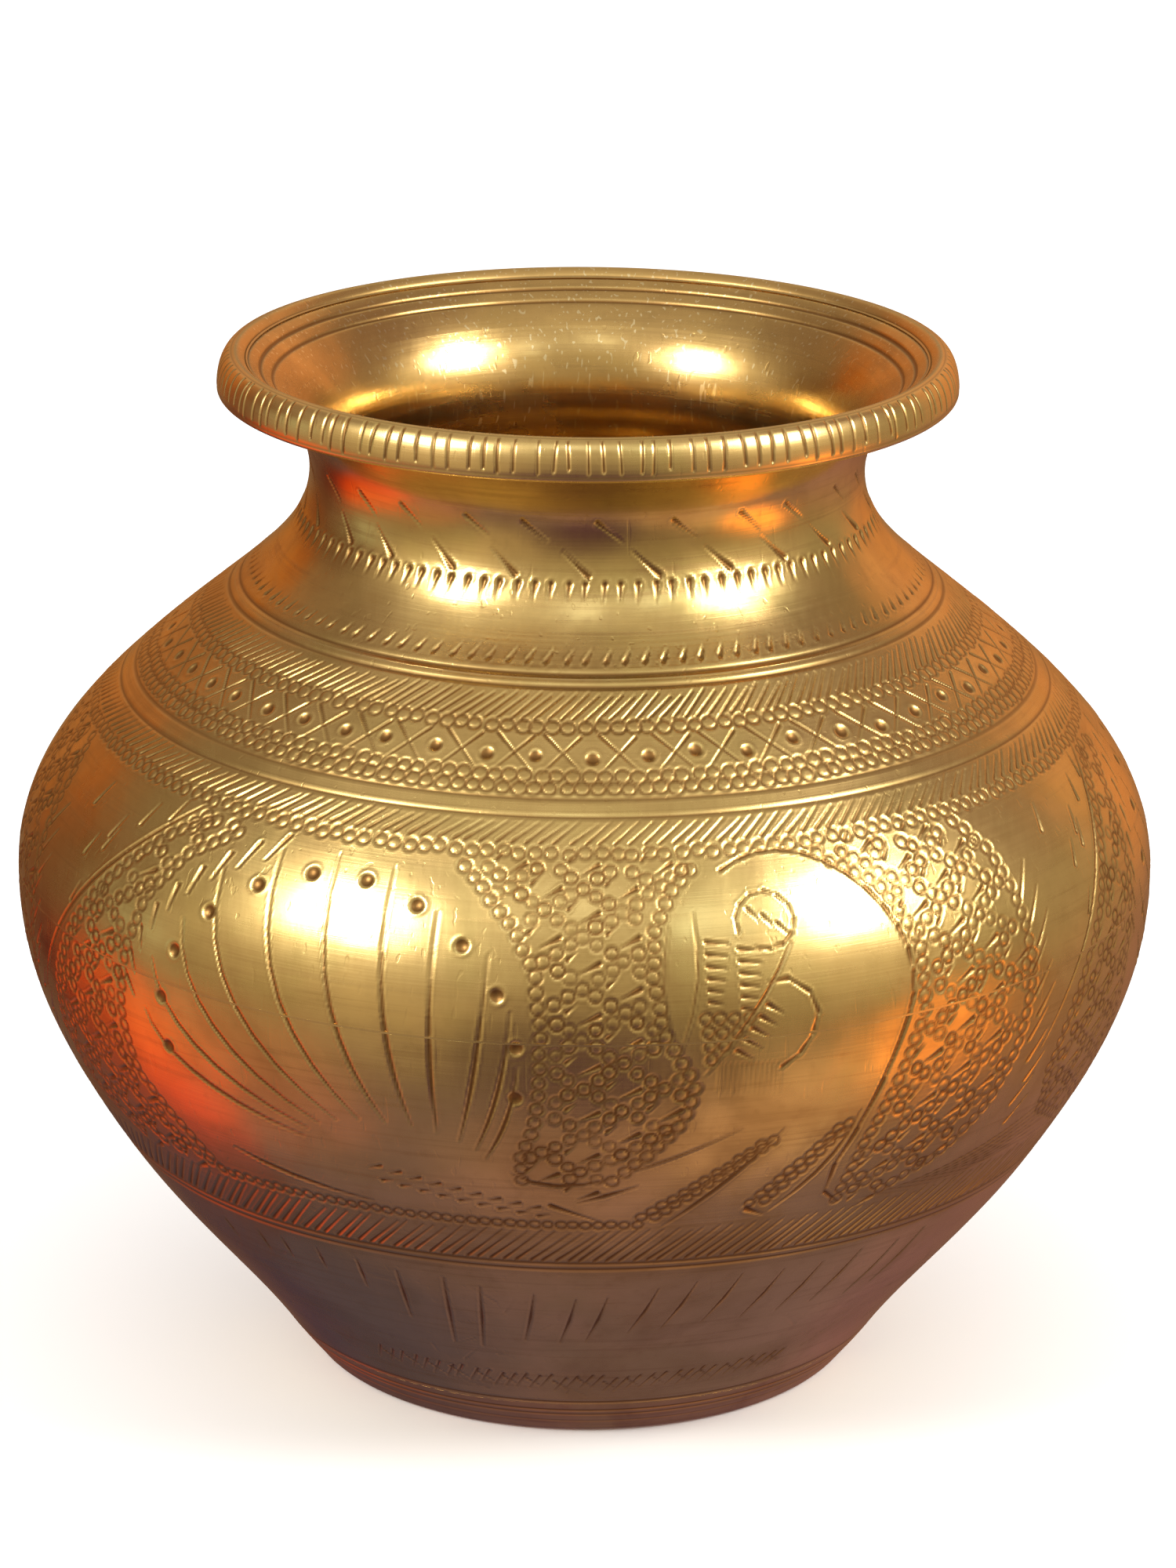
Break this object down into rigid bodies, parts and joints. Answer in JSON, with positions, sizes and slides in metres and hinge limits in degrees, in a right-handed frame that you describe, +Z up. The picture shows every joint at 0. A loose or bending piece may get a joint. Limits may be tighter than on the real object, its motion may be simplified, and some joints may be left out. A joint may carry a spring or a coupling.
{
  "type": "engraved brass water pot",
  "caption": "Round-bellied brass lota with a waisted neck, trumpet mouth and thick notched rim, engraved all over; holds water, grain or flowers.",
  "frame": {"origin": "centre of the foot, on the surface the pot stands on", "axes": "+Z up along the pot's axis, out of the mouth; the main shell-shaped motif faces -Y, a little to -X"},
  "size_m": [0.1498, 0.1498, 0.1364],
  "materials": {
    "base_brass": "turned, dulled by handling",
    "belly_brass": "polished, chased and engraved",
    "neck_brass": "polished, turned",
    "rim_brass": "polished, notched",
    "spelter": "filed flush"
  },
  "bodies": {
    "root": {"base_pan": "base_brass", "base_seam": "spelter", "lower_belly": "belly_brass", "belly_seam": "spelter", "upper_belly": "belly_brass", "neck_seam": "spelter", "neck_flare": "neck_brass", "rim_seam": "spelter", "rim_ring": "rim_brass"}
  },
  "joints": []
}
